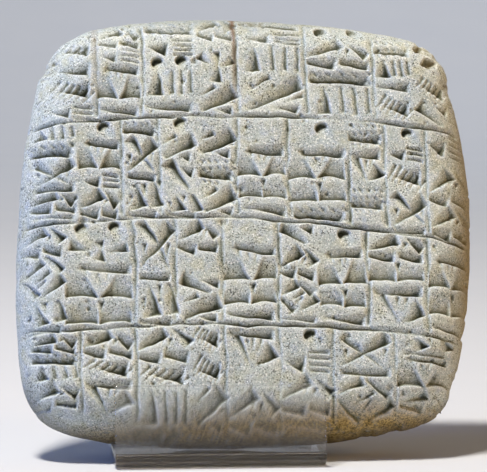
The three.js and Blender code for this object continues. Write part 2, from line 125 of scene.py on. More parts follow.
# Camera
VIEW_AZIMUTH = math.radians(-5)
VIEW_ELEVATION = math.radians(4)
VIEW_DISTANCE = 520
LENS = 204.3
SENSOR = 36
AIM_RIGHT = -0.29
AIM_UP = -1

HALF_WIDTH = TABLET_WIDTH / 2
HALF_HEIGHT = TABLET_HEIGHT / 2


def outline_field(x, z):
    """Negative inside the tablet's outline, about the distance to it."""
    gaps = []
    for facing, reach, radius in SIDES:
        a = math.radians(facing)
        gaps.append(np.hypot(x - (reach - radius) * np.cos(a), z - (reach - radius) * np.sin(a)) - radius)
    gaps = np.array(gaps)
    u = np.clip(x / TABLET_WIDTH + 0.5, 0, 1)
    v = np.clip(z / TABLET_HEIGHT + 0.5, 0, 1)
    softness = (
        CORNER_SOFTNESS["top_left"] * (1 - u) * v
        + CORNER_SOFTNESS["top_right"] * u * v
        + CORNER_SOFTNESS["bottom_right"] * u * (1 - v)
        + CORNER_SOFTNESS["bottom_left"] * (1 - u) * (1 - v)
    )
    largest = gaps.max(0)
    return largest + softness * np.log(np.exp((gaps - largest) / softness).sum(0))


def bisect(inside, low, high):
    """The last place between low and high where inside holds, for arrays or single numbers."""
    low = np.array(low, float)
    high = np.array(high, float)
    for _ in range(36):
        middle = (low + high) / 2
        held = inside(middle)
        low = np.where(held, middle, low)
        high = np.where(held, high, middle)
    return low


def swell(x, z, rim, dome):
    return rim + dome * (1 - 0.5 * ((x / HALF_WIDTH) ** 2 + (z / HALF_HEIGHT) ** 2))


def line_z(line, x):
    """Height of one of the five lines that bound the rows."""
    top = HALF_HEIGHT - TOP_MARGIN
    bottom = BOTTOM_MARGIN - HALF_HEIGHT
    z = top + (bottom - top) * line / len(ROWS)
    return z + LINE_TILT[line] * x - LINE_DROP[line] * (x / HALF_WIDTH) ** 2


def edge_x(z, sign):
    return float(sign * bisect(lambda x: outline_field(sign * x, np.float64(z)) < 0, 0, TABLET_WIDTH))


def steep_side(dx, dz):
    """Marks press in from the upper left, so their steep wall lies opposite."""
    length = math.hypot(dx, dz)
    x, z = dz / length, -dx / length
    return (x, z) if x - z > 0 else (-x, -z)


def uneven(n):
    value = math.sin(n * 12.9898) * 43758.5453
    return value - math.floor(value) - 0.5


class Hand:
    """The small unevenness of the hand, the same in every run."""

    def __init__(self, start=0):
        self.count = start

    def shake(self):
        self.count += 1
        return SHAKE * uneven(self.count)


# Each mark is drawn in the unit square of its place in a case. A stroke is its head, its tail, its head's width in
# stylus widths and the tail's share of that width. A pair of numbers is a round hole. Five numbers are a lobe: its
# left and right sides, its foot, its top, and how far its top is drawn in from the right, or from the left if negative.
def stacked(height, pitch, share, start, widest=1.4):
    count = max(1, math.floor(height / (pitch * STYLUS_WIDTH) + 0.5))
    width = min(1.25 * height / (count * STYLUS_WIDTH), widest)
    places = [1 - (i + 0.6) / count for i in range(count)]
    return [(start + share, v - 0.02, start + 0.02, v + 0.03, width, 0.7) for v in places]


def lobes(height, pitch, columns):
    """Round-topped facets, side by side in rows about pitch stylus widths high."""
    rows = max(1, math.floor(height / (pitch * STYLUS_WIDTH) + 0.5))
    places = [(i, j) for j in range(rows) for i in range(columns)]
    return [(i / columns, (i + 0.97) / columns, j / rows, (j + 1) / rows, 0) for i, j in places]


def ticks(rows, columns):
    """Short steep strokes in rows."""
    places = [((i + 0.5) / columns, (j + 0.5) / rows) for j in range(rows) for i in range(columns)]
    return [(u + 0.1, v - 0.2 / rows, u - 0.04, v + 0.36 / rows, 0.34, 0.3) for u, v in places]


MARKS = {
    "gap": lambda height: [],
    "slab": lambda height: [(0.98, 0.4, 0.02, 0.6, min(0.9 * height / STYLUS_WIDTH, 1.7), 0.3)],
    "ladder": lambda height: [(0.5, 0.4, 0.02, 0.56, 0.85 * height / STYLUS_WIDTH, 0)]
    + stacked(height, 0.48, 0.46, 0.54, 0.5),
    "arches": lambda height: lobes(height, 1.4, 2),
    "hatch": lambda height: [(1, 0.4, 0, 0.5, 1.2, 0.8)],
    "vee": lambda height: [
        (1, 0.86, 0.2, 0.92, 1.1, 0.6),
        (0.2, 0.9, 0.36, 0.5, 0.7, 0),
        (0, 0.5, 0, 0.82, 0.5),
        (0.5, 1, 0, 0.84, -0.6),
    ],
    "tent": lambda height: [
        (0.55, 0.94, 0, 0.36, 1.4, 0.2),
        (0.98, 0.42, 0.6, 0.98, 1.35, 0),
        (0.48, 0.14, 0.02, 0.24, 1.1, 0.6),
        (0.98, 0.12, 0.52, 0.24, 1.1, 0.6),
    ],
    "cross": lambda height: [
        (0.96, 0.94, 0.08, 0.16, 1.4, 0.2),
        (0.14, 0.96, 0.9, 0.1, 1, 0.3),
        (0.98, 0.04, 0.1, 0.06, 0.9, 0.7),
    ],
    "sweep": lambda height: [(0.98, 0.9, 0.06, 0.16, 1.65, 0.4), (0.9, 0.12, 0.4, 0.2, 1, 0)],
    "fall": lambda height: [(0.12, 0.98, 0.8, 0.06, 1.4, 0.3), (0.98, 0.7, 0.5, 0.86, 1, 0)],
    "kite": lambda height: [
        (0.98, 0.86, 0.04, 0.9, 1.1, 0.5),
        (0.14, 0.86, 0.52, 0.02, 1, 0.1),
        (0.92, 0.5, 0.5, 0.1, 1.65, 0),
    ],
    "wedge": lambda height: [(0.94, 0.5, 0.04, 0.56, 1.1 * height / STYLUS_WIDTH, 0)],
    "lozenge": lambda height: [
        (0.5, 0.96, 0.03, 0.54, 1.15, 0.2),
        (0.96, 0.56, 0.54, 0.98, 1, 0.4),
        (0.46, 0.04, 0.04, 0.48, 0.9, 0.4),
        (0.97, 0.5, 0.52, 0.04, 1.35, 0.2),
    ],
    "posts": lambda height: [(0.22, 0.03, 0.24, 0.98, 1.5, 0.15)]
    + [(u, 0.03, u - 0.02, 0.98, 0.55, 0.7) for u in (0.52, 0.72, 0.92)],
    "sprig": lambda height: [
        (0.5, 0.98, 0.52, 0.5, 0.9, 0.2),
        (0.06, 0.84, 0.46, 0.5, 1.1, 0),
        (0.96, 0.74, 0.58, 0.46, 1.1, 0),
        (0.5, 0.04, 0.54, 0.6, 1.25, 0.1),
    ],
    "foot": lambda height: [
        (0.44, 0.12, 0.34, 0.98, 1.6, 0),
        (0.94, 0.16, 0.84, 0.96, 1.4, 0.3),
        (0.98, 0.02, 0.1, 0.06, 0.9, 0.5),
    ],
    "comb": lambda height: [(0.9, 0.5, 0.1, 0.62, 1.6, 0)],
    "hole": lambda height: [(0.6, 0.62)],
    "holes": lambda height: [(0.26, 0.6), (0.76, 0.64)],
}

# Smaller strokes inside the larger marks, pressed after them.
FINER_MARKS = {
    "hatch": lambda height: ticks(max(2, round(height / 1.3)), 5),
    "comb": lambda height: [
        (0.28 + 0.14 * i, 1 - 0.1 * i, 0.02 + 0.14 * i, 0.46 - 0.09 * i, 0.4, 0.5) for i in range(6)
    ],
    "vee": lambda height: [(0.44, 0.74, 0.5, 0.42, 0.34, 0), (0.6, 0.74, 0.55, 0.42, 0.34, 0)],
    "tent": lambda height: [(0.5, 0.7, 0.46, 0.4, 0.5, 0), (0.66, 0.68, 0.6, 0.36, 0.5, 0)],
    "kite": lambda height: [(0.5, 0.76, 0.5, 0.4, 0.5, 0), (0.66, 0.74, 0.6, 0.44, 0.5, 0)],
    "lozenge": lambda height: [(0.7, 0.66, 0.34, 0.4, 0.5, 0.4), (0.6, 0.5, 0.4, 0.22, 0.4, 0.4)],
    "cross": lambda height: [(0.2, 0.6, 0.24, 0.3, 0.5, 0), (0.84, 0.62, 0.8, 0.3, 0.5, 0)],
    "foot": lambda height: [(0.6, 0.9, 0.62, 0.4, 0.5, 0), (0.2, 0.6, 0.2, 0.2, 0.4, 0)],
    "arches": lambda height: [(0.5, 1, 0.5, 0.3, 0.6, 0)],
    "sweep": lambda height: [(0.5, 0.96, 0.1, 0.6, 0.55, 0.2), (0.98, 0.5, 0.6, 0.3, 0.5, 0)],
}

# Rows of cases from left to right: each case's width and its marks from the top down with their heights. Widths
# and heights are shares of what the row and the case have. "open" means that no line is ruled before the case.
ROWS = (
    (
        (9, "comb 5 wedge 3 comb 5 ladder 3"),
        (8.7, "tent 5 ladder 3 vee 7 slab 3"),
        (9.9, "hatch 4 ladder 4 holes 2 posts 5 slab 3"),
        (7.5, "open tent 5 gap 2 sprig 6 sweep 5"),
        (12.7, "slab 3 ladder 3 posts 5 sweep 7"),
        (12.7, "holes 3 tent 6 hatch 3 posts 6"),
        (7.4, "hatch 5 posts 4 slab 3 comb 6"),
        (7.1, "open gap 5 comb 5 fall 5"),
    ),
    (
        (9.3, "posts 3 hatch 3 cross 6 tent 4 slab 2"),
        (8.1, "open hole 3 vee 6 ladder 3 tent 5"),
        (6.7, "hatch 3 cross 7 foot 6"),
        (6.9, "hole 3 sweep 5 fall 6 foot 4"),
        (7.1, "open gap 2 sweep 5 hatch 5 sweep 5"),
        (9.7, "gap 5 vee 6 arches 4 slab 3"),
        (10.8, "hole 5 vee 6 arches 4 hatch 3"),
        (7, "hatch 4 kite 6 hatch 4 gap 2"),
        (7.9, "hole 3 ladder 3 comb 5 cross 6"),
        (8.3, "ladder 4 gap 2 tent 6 tent 5"),
    ),
    (
        (8.3, "tent 5 lozenge 7 foot 5"),
        (12.4, "open holes 3 sprig 4 vee 6 arches 4"),
        (7.5, "cross 9 foot 6"),
        (8.7, "tent 6 gap 4 fall 3 sweep 5"),
        (10.2, "gap 4 vee 7 arches 4 slab 3"),
        (7, "fall 4 tent 6 lozenge 6 slab 2"),
        (9.1, "open hole 4 vee 7 arches 4 slab 3"),
        (11.2, "tent 5 arches 4 kite 8"),
        (8.6, "gap 2 vee 6 arches 4 slab 3"),
    ),
    (
        (9.5, "tent 4 hatch 3 posts 4 tent 5"),
        (9.8, "tent 5 comb 4 kite 7"),
        (9.9, "tent 6 comb 4 posts 6"),
        (6, "open comb 4 comb 4 sweep 6"),
        (9.8, "kite 7 gap 2 tent 6"),
        (9.6, "hole 3 ladder 4 tent 6 slab 2"),
        (11.6, "cross 8 lozenge 8"),
        (10.8, "foot 4 vee 8 tent 4"),
    ),
)

# The face's maps are square grids over x and z, with a row for each z.
MAP_AXIS = np.arange(-MAP_HALF, MAP_HALF + MAP_CELL / 2, MAP_CELL)
MAP_X, MAP_Z = np.meshgrid(MAP_AXIS, MAP_AXIS)


def patch(x_low, x_high, z_low, z_high):
    """The map's cells between these coordinates."""
    first = lambda low: int(np.clip((low + MAP_HALF) / MAP_CELL, 0, len(MAP_AXIS)))
    last = lambda high: int(np.clip((high + MAP_HALF) / MAP_CELL + 2, 0, len(MAP_AXIS)))
    return slice(first(z_low), last(z_high)), slice(first(x_low), last(x_high))


def press(depths, cells, amount):
    depths[cells] = np.maximum(depths[cells], amount)


def press_dent(depths, x0, z0, x1, z1, width, tail):
    """One stylus mark: a dent with a broad and a steep wall, widest at its head and narrower at its tail."""
    depth = min(width * MARK_DEPTH, DEEPEST_MARK)
    side = np.array(steep_side(x1 - x0, z1 - z0))
    head = np.array((x0, z0))
    end = np.array((x1, z1))
    ridge = lambda along: head + along * (end - head) + RIDGE_ASIDE * width * side * (1 - along * (1 - tail))
    bottom = ridge(HEAD_SLOPE)
    half = side * width / 2
    head_broad, head_steep, tail_broad, tail_steep = head - half, head + half, end - half * tail, end + half * tail
    walls = [
        (head_broad, tail_broad, bottom, depth),
        (head_steep, tail_steep, bottom, depth),
        (head_broad, head_steep, bottom, depth),
    ]
    if tail > 0:
        along = 1 - TAIL_SLOPE
        shallow = depth * (1 - along * (1 - tail)) / (1 - HEAD_SLOPE * (1 - tail))
        walls.append((tail_broad, tail_steep, ridge(along), shallow))
    corners = np.array((head_broad, head_steep, tail_broad, tail_steep))
    low = corners.min(0)
    high = corners.max(0)
    cells = patch(low[0], high[0], low[1], high[1])
    found = np.ones(MAP_X[cells].shape)
    for index, (a, b, deep, amount) in enumerate(walls):
        normal = np.array((b[1] - a[1], a[0] - b[0]))
        away = normal[0] * (MAP_X[cells] - a[0]) + normal[1] * (MAP_Z[cells] - a[1])
        share = np.clip(amount / depth * away / (normal @ (deep - a)), 0, 1)
        found = np.minimum(found, share if index == STEEP_WALL else share**WALL_CURVE)
    press(depths, cells, depth * found)


def press_lobe(depths, left, right, foot, top, drawn_in):
    """A broad facet with a round top, which sinks towards its foot and ends there in a step."""
    cells = patch(left, right, foot, top)
    width = right - left
    across = np.clip(2 * (MAP_X[cells] - left) / width - 1, -1, 1)
    dome = np.sqrt(1 - across**2)
    round_top = top - 0.5 * width * LOBE_ROUND * (1 - dome)
    round_foot = foot + FOOT_ARCH * dome
    rise = np.clip((MAP_Z[cells] - foot) / (top - foot), 0, 1)
    right_side = right - width * max(drawn_in, 0) * rise
    left_side = left - width * min(drawn_in, 0) * rise
    sunk = np.clip((round_top - MAP_Z[cells]) / (round_top - foot), 0, 1) ** WALL_CURVE
    walls = [MAP_Z[cells] - round_foot, right_side - MAP_X[cells], MAP_X[cells] - left_side]
    step = np.clip(np.minimum.reduce(walls) / LOBE_STEP, 0, 1)
    press(depths, cells, min(LOBE_DEPTH, 0.42 * (top - foot)) * sunk * step)


def press_hole(depths, x, z):
    """A hole pressed in at a slant: steep at its top, running out to the lower right."""
    reach = HOLE_RADIUS * HOLE_TRAIL
    cells = patch(x - HOLE_RADIUS, x + reach, z - reach, z + HOLE_RADIUS)
    across = MAP_X[cells] - x
    up = MAP_Z[cells] - z
    away = np.hypot(across, up) / HOLE_RADIUS
    wall = np.clip((1 - away) / 0.25, 0, 1)
    floor = np.clip(0.55 + 0.55 * (up - 0.5 * across) / HOLE_RADIUS, 0, 1)
    along = (across * 0.45 - up * 0.9) / reach
    aside = np.abs(across * 0.9 + up * 0.45) / HOLE_RADIUS
    trail = 0.35 * np.clip(1 - along, 0, 1) * np.clip(1.2 - aside, 0, 1) * (along > 0)
    press(depths, cells, HOLE_DEPTH * np.maximum(wall * floor, trail))


def press_rule(depths, size, across, along_low, along_high, along, strength):
    """A ruled groove. across is each cell's distance from the line, growing towards the steep wall."""
    width, depth = size
    beyond = across - 0.2 * width
    gauge = np.maximum(beyond / (0.2 * width), -beyond / (0.8 * width))
    ends = np.clip(np.minimum(along - along_low, along_high - along) / 1.2, 0, 1)
    groove = depth * strength * np.clip(1 - gauge, 0, 1) ** WALL_CURVE
    np.maximum(depths, groove * ends, out=depths)


def case_marks(broad, fine, words, start, end, row, hand, finer):
    middle = (start + end) / 2
    top = line_z(row, middle) - CASE_INSET + (TOP_ROW_REACH if row == 0 else 0)
    bottom = line_z(row + 1, middle) + CASE_INSET
    names = words[0::2]
    heights = [float(word) for word in words[1::2]]
    begin = top
    for name, height in zip(names, heights):
        finish = begin + (bottom - top) * height / sum(heights)
        high = begin - MARK_GAP
        low = finish + MARK_GAP
        place_x = lambda u: start + CASE_INSET + u * (end - start - 1.4 * CASE_INSET)
        place_z = lambda v: low + v * (high - low)
        strokes = [(broad, hand, mark) for mark in MARKS[name](high - low)]
        strokes += [(fine, finer, mark) for mark in FINER_MARKS.get(name, MARKS["gap"])(high - low)]
        for depths, who, mark in strokes:
            if len(mark) == 2:
                press_hole(depths, place_x(mark[0]) + who.shake(), place_z(mark[1]) + who.shake())
                continue
            if len(mark) == 5:
                sides = [place_x(u) + who.shake() for u in mark[:2]]
                ends = [place_z(v) + who.shake() for v in mark[2:4]]
                press_lobe(depths, *sides, *ends, mark[4])
                continue
            u0, v0, u1, v1, widths, tail = mark
            x0 = place_x(u0) + who.shake()
            z0 = place_z(v0) + who.shake()
            x1 = place_x(u1) + who.shake()
            z1 = place_z(v1) + who.shake()
            press_dent(depths, x0, z0, x1, z1, widths * STYLUS_WIDTH, tail)
        begin = finish


def soften(field, reach):
    """A Gaussian blur, with reach in millimetres."""
    cycles = np.fft.fftfreq(len(MAP_AXIS), MAP_CELL)
    kernel = np.exp(-2 * (math.pi * reach * cycles) ** 2)
    spectrum = np.fft.fft2(field) * kernel[:, None] * kernel[None, :]
    return np.fft.ifft2(spectrum).real


def cloud(size, seed):
    """Soft noise from about -1 to 1, with lumps about size millimetres across."""
    white = np.random.default_rng(seed).standard_normal(MAP_X.shape)
    field = soften(white, size / 3)
    return field / (2 * field.std())


def inscription():
    """Depth of the ruling and the stylus marks over the face, pressed in by hand."""
    depths = np.zeros(MAP_X.shape)
    fine = np.zeros(MAP_X.shape)
    hand = Hand()
    finer = Hand(5000)
    strength = np.clip(1 + 0.5 * cloud(7, 11), 0.15, 1.6)
    wander = 0.12 * cloud(8, 12)
    for row, cases in enumerate(ROWS):
        middle = (line_z(row, 0) + line_z(row + 1, 0)) / 2
        left = edge_x(middle, -1) + ROW_MARGIN_LEFT[row] - SIDE_REACH
        right = edge_x(middle, 1) - ROW_MARGIN_RIGHT[row] + SIDE_REACH
        total = sum(width for width, words in cases)
        start = left
        for index, (width, text) in enumerate(cases):
            end = start + (right - left) * width / total
            words = text.split()
            ruled = words[0] != "open" and index > 0
            if words[0] == "open":
                words = words[1:]
            if ruled:
                top = line_z(row, start) - RULE_GAP_TOP
                bottom = line_z(row + 1, start) + RULE_GAP_BOTTOM
                lean = [start + hand.shake() for _ in range(3)]
                path = np.interp(MAP_Z, (bottom, (top + bottom) / 2, top), lean[::-1])
                press_rule(depths, COLUMN_RULE, MAP_X - path + wander, bottom - 0.6, top + 0.6, MAP_Z, strength)
            case_marks(depths, fine, words, start, end, row, hand, finer)
            start = end
    for line in range(1, len(ROWS)):
        left = edge_x(line_z(line, -HALF_WIDTH), -1) + LINE_MARGIN_LEFT
        right = edge_x(line_z(line, HALF_WIDTH), 1) - LINE_MARGIN_RIGHT
        press_rule(depths, ROW_RULE, line_z(line, MAP_X) - MAP_Z + wander, left, right, MAP_X, strength)
    return depths + FINE_SHARE * fine


def read_map(field, x, z):
    """The map's value at any points, blended from the four cells around each."""
    i = np.clip((z + MAP_HALF) / MAP_CELL, 0, len(MAP_AXIS) - 1.001)
    j = np.clip((x + MAP_HALF) / MAP_CELL, 0, len(MAP_AXIS) - 1.001)
    i0 = i.astype(int)
    j0 = j.astype(int)
    di = i - i0
    dj = j - j0
    low = field[i0, j0] * (1 - dj) + field[i0, j0 + 1] * dj
    high = field[i0 + 1, j0] * (1 - dj) + field[i0 + 1, j0 + 1] * dj
    return low * (1 - di) + high * di


def pits(count, radii, depth, seed):
    """Small round pits, scattered over the face."""
    rng = np.random.default_rng(seed)
    depths = np.zeros(MAP_X.shape)
    for _ in range(count):
        x, z = rng.uniform(-HALF_WIDTH, HALF_WIDTH, 2)
        radius = radii[0] + (radii[1] - radii[0]) * rng.random() ** 3
        cells = patch(x - radius, x + radius, z - radius, z + radius)
        away = np.hypot(MAP_X[cells] - x, MAP_Z[cells] - z) / radius
        press(depths, cells, depth * radius * np.clip(1 - away**2, 0, 1))
    return depths


# Lost flakes of the face: middle, half width, half height and depth.
CHIPS = (
    (36, 34, 4.6, 2.6, 0.4),
    (33.4, 33.8, 1.2, 1.5, 1.1),
    (35.3, 31.1, 1.9, 1.3, 1.3),
    (40.2, 26.5, 2.2, 4, 0.35),
    (-36.5, 31, 2.6, 3.2, 0.4),
    (27.5, -40, 9, 2.2, 0.4),
    (38.5, -33, 2.4, 5, 0.25),
    (-20, -40.5, 6, 1.6, 0.5),
    (2, 39.2, 4, 1.2, 0.4),
)


def chips():
    rough = 0.4 * cloud(3.5, 21) + 0.22 * cloud(1.2, 22)
    depths = np.zeros(MAP_X.shape)
    for x, z, wide, high, depth in CHIPS:
        away = np.hypot((MAP_X - x) / wide, (MAP_Z - z) / high)
        depths = np.maximum(depths, depth * np.clip(2.2 * (1 - away + rough), 0, 1))
    return depths * (1 + 0.5 * cloud(0.9, 23))


def relief_maps():
    marks = inscription()
    # The hand and the drag of the clay leave no edge quite straight.
    drag_x = 0.25 * cloud(7, 30) + 0.14 * cloud(2.2, 31)
    drag_z = 0.25 * cloud(7, 29) + 0.14 * cloud(2.2, 32)
    marks = read_map(marks, MAP_X + drag_x, MAP_Z + drag_z)
    near_edge = np.clip(-outline_field(MAP_X, MAP_Z) / 3, 0.3, 1)
    marks = soften(marks, 0.07) * (1 + 0.22 * cloud(6, 33)) * near_edge
    lips = soften(np.clip(marks / 0.4, 0, 1), 0.5) * np.clip(1 - marks / 0.12, 0, 1)
    lost = chips()
    uneven_face = 0.22 * cloud(14, 34) + 0.1 * cloud(4, 35) + 0.03 * cloud(1.6, 36)
    pitted = np.maximum(pits(420, (0.2, 0.5), 0.7, 38), pits(45, (0.4, 0.9), 0.5, 39))
    depth = np.maximum(marks, lost) + pitted + uneven_face - 0.12 * lips
    # How far each place stands out of its surroundings: what is high gets a painted highlight, what is low gets painted
    # shade.
    proud = soften(depth, 0.5) - soften(depth, 0.1)
    return {"depth": depth, "marks": marks, "lost": lost, "proud": proud}


def pillow_grid(cells, sign, rim, dome, roll):
    """One half of the plain tablet as a square grid of points, from its middle to the rim between the halves."""
    axis = np.linspace(-1, 1, cells + 1)
    s, t = np.meshgrid(axis, axis)
    share = np.maximum(np.abs(s), np.abs(t))
    angle = np.arctan2(t, s) % (2 * math.pi)
    arc = (roll + rim) / 2 * math.pi / 2
    flat = (HALF_WIDTH - roll) / (HALF_WIDTH - roll + arc)
    rise = (1 - np.clip((share - flat) / (1 - flat), 0, 1)) * math.pi / 2
    steps = 48
    rises = np.linspace(0, math.pi / 2, steps + 1)
    angles = np.linspace(0, 2 * math.pi, 1441)
    grid_angle, grid_rise = np.meshgrid(angles, rises)
    inset = roll * (1 - np.cos(grid_rise))
    inside = lambda r: outline_field(r * np.cos(grid_angle), r * np.sin(grid_angle)) < -inset
    table = bisect(inside, np.zeros(inset.shape), np.full(inset.shape, TABLET_WIDTH))
    i = np.clip(rise / (math.pi / 2) * steps, 0, steps - 1e-6)
    j = np.clip(angle / (2 * math.pi) * 1440, 0, 1440 - 1e-6)
    i0 = i.astype(int)
    j0 = j.astype(int)
    di = i - i0
    dj = j - j0
    radius = (table[i0, j0] * (1 - dj) + table[i0, j0 + 1] * dj) * (1 - di)
    radius += (table[i0 + 1, j0] * (1 - dj) + table[i0 + 1, j0 + 1] * dj) * di
    radius *= np.clip(share / flat, 0, 1)
    x = radius * np.cos(angle)
    z = radius * np.sin(angle)
    return np.stack((x, sign * swell(x, z, rim, dome) * np.sin(rise), z), -1)


def grid_normals(points, sign):
    across = np.gradient(points, axis=1)
    up = np.gradient(points, axis=0)
    normals = np.cross(across, up)
    normals /= np.linalg.norm(normals, axis=-1, keepdims=True)
    return normals * (1 if normals[len(points) // 2, len(points) // 2, 1] * sign > 0 else -1)


def border(cells):
    """A square grid's border as (row, column) pairs, anticlockwise from the lower left."""
    last = cells
    pairs = [(0, j) for j in range(last)]
    pairs += [(i, last) for i in range(last)]
    pairs += [(last, last - j) for j in range(last)]
    pairs += [(last - i, 0) for i in range(last)]
    return pairs


def tablet_mesh(maps):
    """The tablet's points and faces: a fine grid in front and a coarser one behind, which share the fine rim."""
    front = pillow_grid(FACE_CELLS, -1, FRONT_RIM, FRONT_DOME, FRONT_ROLL)
    back = pillow_grid(BACK_CELLS, 1, BACK_RIM, BACK_DOME, BACK_ROLL)
    rough_back = 0.35 * cloud(16, 41) + 0.12 * cloud(4, 42) + 0.05 * cloud(1.6, 43)
    front_depth = read_map(maps["depth"], front[..., 0], front[..., 2])
    back_depth = read_map(rough_back, back[..., 0], back[..., 2])
    near_rim = np.clip(1 - back[..., 1] / BACK_RIM * 1.6, 0, 1)
    rim_depth = read_map(maps["depth"], back[..., 0], back[..., 2])
    back_depth = back_depth * (1 - near_rim) + rim_depth * near_rim
    front -= grid_normals(front, -1) * front_depth[..., None]
    back -= grid_normals(back, 1) * back_depth[..., None]

    fine = FACE_CELLS + 1
    coarse = BACK_CELLS + 1
    step = FACE_CELLS // BACK_CELLS
    points = [front.reshape(-1, 3)]
    inner = np.full((coarse, coarse), -1)
    inner[1:-1, 1:-1] = fine * fine + np.arange((coarse - 2) ** 2).reshape(coarse - 2, coarse - 2)
    points.append(back[1:-1, 1:-1].reshape(-1, 3))
    rim = [i * fine + j for i, j in border(FACE_CELLS)]
    for k, (i, j) in enumerate(border(BACK_CELLS)):
        inner[i, j] = rim[k * step]

    number = np.arange(fine * fine).reshape(fine, fine)
    quads = np.stack((number[:-1, :-1], number[:-1, 1:], number[1:, 1:], number[1:, :-1]), -1)
    faces = quads.reshape(-1, 4).tolist()
    after = {rim[k * step]: [rim[(k * step + m) % len(rim)] for m in range(1, step)] for k in range(4 * BACK_CELLS)}
    following = {rim[k * step]: rim[(k + 1) * step % len(rim)] for k in range(4 * BACK_CELLS)}
    before = {b: a for a, b in following.items()}
    for i in range(BACK_CELLS):
        for j in range(BACK_CELLS):
            loop = [inner[i, j], inner[i + 1, j], inner[i + 1, j + 1], inner[i, j + 1]]
            face = []
            for a, b in zip(loop, loop[1:] + loop[:1]):
                face.append(int(a))
                if following.get(a) == b:
                    face += after[a]
                elif before.get(a) == b:
                    face += after[b][::-1]
            faces.append(face)
    return np.concatenate(points), faces


def to_world(points):
    """From the tablet's own frame to metres in the row's frame, standing where the solid stands."""
    x, y, z = points.T
    leaned = np.stack((x, y * math.cos(LEAN) + z * math.sin(LEAN), z * math.cos(LEAN) - y * math.sin(LEAN)), -1)
    return (leaned + np.array((TABLET_OFFSET, TABLET_Y, SEAT))) * MM


def from_world(points):
    x, y, z = (points / MM - np.array((TABLET_OFFSET, TABLET_Y, SEAT))).T
    return np.stack((x, y * math.cos(LEAN) - z * math.sin(LEAN), z * math.cos(LEAN) + y * math.sin(LEAN)), -1)


def seated():
    """The height of the tablet's middle above the floor, found from its lowest point."""
    lowest = 0
    for sign, rim, dome, roll in ((-1, FRONT_RIM, FRONT_DOME, FRONT_ROLL), (1, BACK_RIM, BACK_DOME, BACK_ROLL)):
        points = pillow_grid(120, sign, rim, dome, roll)
        lowest = min(lowest, (points[..., 2] * math.cos(LEAN) - points[..., 1] * math.sin(LEAN)).min())
    return STRIP_THICKNESS + SEAT_GAP - lowest


def beside_tablet(away, height):
    """The strip's middle line on one side of the tablet, away from its mid-plane, at a height."""
    return Vector(((away + (height - SEAT) * math.sin(LEAN)) / math.cos(LEAN), height))


SEAT = seated()
HALF_STRIP = STRIP_THICKNESS / 2
FRONT_AWAY = -(FRONT_RIM + FRONT_DOME + SEAT_GAP + HALF_STRIP)
BACK_AWAY = BACK_RIM + BACK_DOME + SEAT_GAP + HALF_STRIP
HEEL = beside_tablet(BACK_AWAY, HALF_STRIP)
TOE = beside_tablet(FRONT_AWAY, HALF_STRIP)
TABLET_Y = -(HEEL.x + TOE.x) / 2


def new_object(name, points, faces):
    mesh = bpy.data.meshes.new(name)
    mesh.from_pydata([tuple(p) for p in points], [], faces)
    mesh.validate()
    piece = bpy.data.objects.new(name, mesh)
    bpy.context.scene.collection.objects.link(piece)
    return piece


def bake_modifiers(piece):
    depsgraph = bpy.context.evaluated_depsgraph_get()
    mesh = bpy.data.meshes.new_from_object(piece.evaluated_get(depsgraph))
    piece.modifiers.clear()
    piece.data = mesh


def add_attribute(mesh, name, values):
    layer = mesh.attributes.new(name, "FLOAT", "POINT")
    layer.data.foreach_set("value", np.asarray(values, np.float32))


def make_tablet():
    maps = relief_maps()
    points, faces = tablet_mesh(maps)
    piece = new_object("clay_tablet", to_world(points), faces)
    triangles = sum(len(face) - 2 for face in faces)
    thin = piece.modifiers.new("thin", "DECIMATE")
    thin.ratio = TRIANGLE_BUDGET / triangles
    thin.use_collapse_triangulate = True
    bake_modifiers(piece)
    mesh = piece.data
    mesh.name = piece.name
    for polygon in mesh.polygons:
        polygon.use_smooth = True
    mesh.set_sharp_from_angle(angle=SHARP_ANGLE)

    corners = np.empty(len(mesh.vertices) * 3)
    mesh.vertices.foreach_get("co", corners)
    local = from_world(corners.reshape(-1, 3))
    x, y, z = local.T
    front = np.clip(-y / 3 + 0.5, 0, 1)
    marks = read_map(maps["marks"], x, z)
    add_attribute(mesh, "recess", front * np.clip((marks - 0.3) / 1.1, 0, 1))
    add_attribute(mesh, "lost", front * np.clip(read_map(maps["lost"], x, z), 0, 1))
    proud = read_map(maps["proud"], x, z)
    # Painted highlight on what stands high.
    add_attribute(mesh, "rim_highlight", front * np.clip((proud - 0.02) / 0.16, 0, 1))
    # Painted shade in what lies low.
    add_attribute(mesh, "hollow_shade", front * np.clip((-proud - 0.03) / 0.22, 0, 1))
    central_rule = np.exp(-(((x + 1.9 - 0.01 * (z - 28)) / 0.4) ** 2)) * np.clip((z - 15) / 24, 0, 1)
    side_rule = 0.4 * np.exp(-(((x + 28) / 0.6) ** 2)) * np.clip((z - 20) / 16, 0, 1)
    add_attribute(mesh, "rust", front * np.clip(central_rule + side_rule, 0, 1))
    low_edge = np.clip((-z - 34 - 0.0012 * (x - 24) ** 2) / 4, 0, 1)
    right_edge = np.clip((x - 38.5) / 3, 0, 1) * np.clip((24 - z) / 40, 0, 0.8)
    add_attribute(mesh, "crust", np.clip(low_edge + right_edge, 0, 1))
    # Painted shade on the underside along the bottom edge.
    add_attribute(mesh, "underside_shade", np.clip(outline_field(x, z) / 1.6 + 1, 0, 1) * np.clip((-z - 26) / 8, 0, 1))
    # Painted shade: the top rim is darkened against the bright lamp above.
    add_attribute(mesh, "top_shade", np.clip((z - 35.5 - 0.002 * x**2) / 5, 0, 1))
    # Painted shade: the right side and the back are darker and a warmer brown than the face.
    side_shade = np.clip((x - 36.5) / 5, 0, 1) * (0.6 + 0.4 * np.clip((25 - z) / 40, 0, 1)) + 0.5 * np.clip(y / 6, 0, 1)
    add_attribute(mesh, "shade", np.clip(side_shade, 0, 1))
    return piece


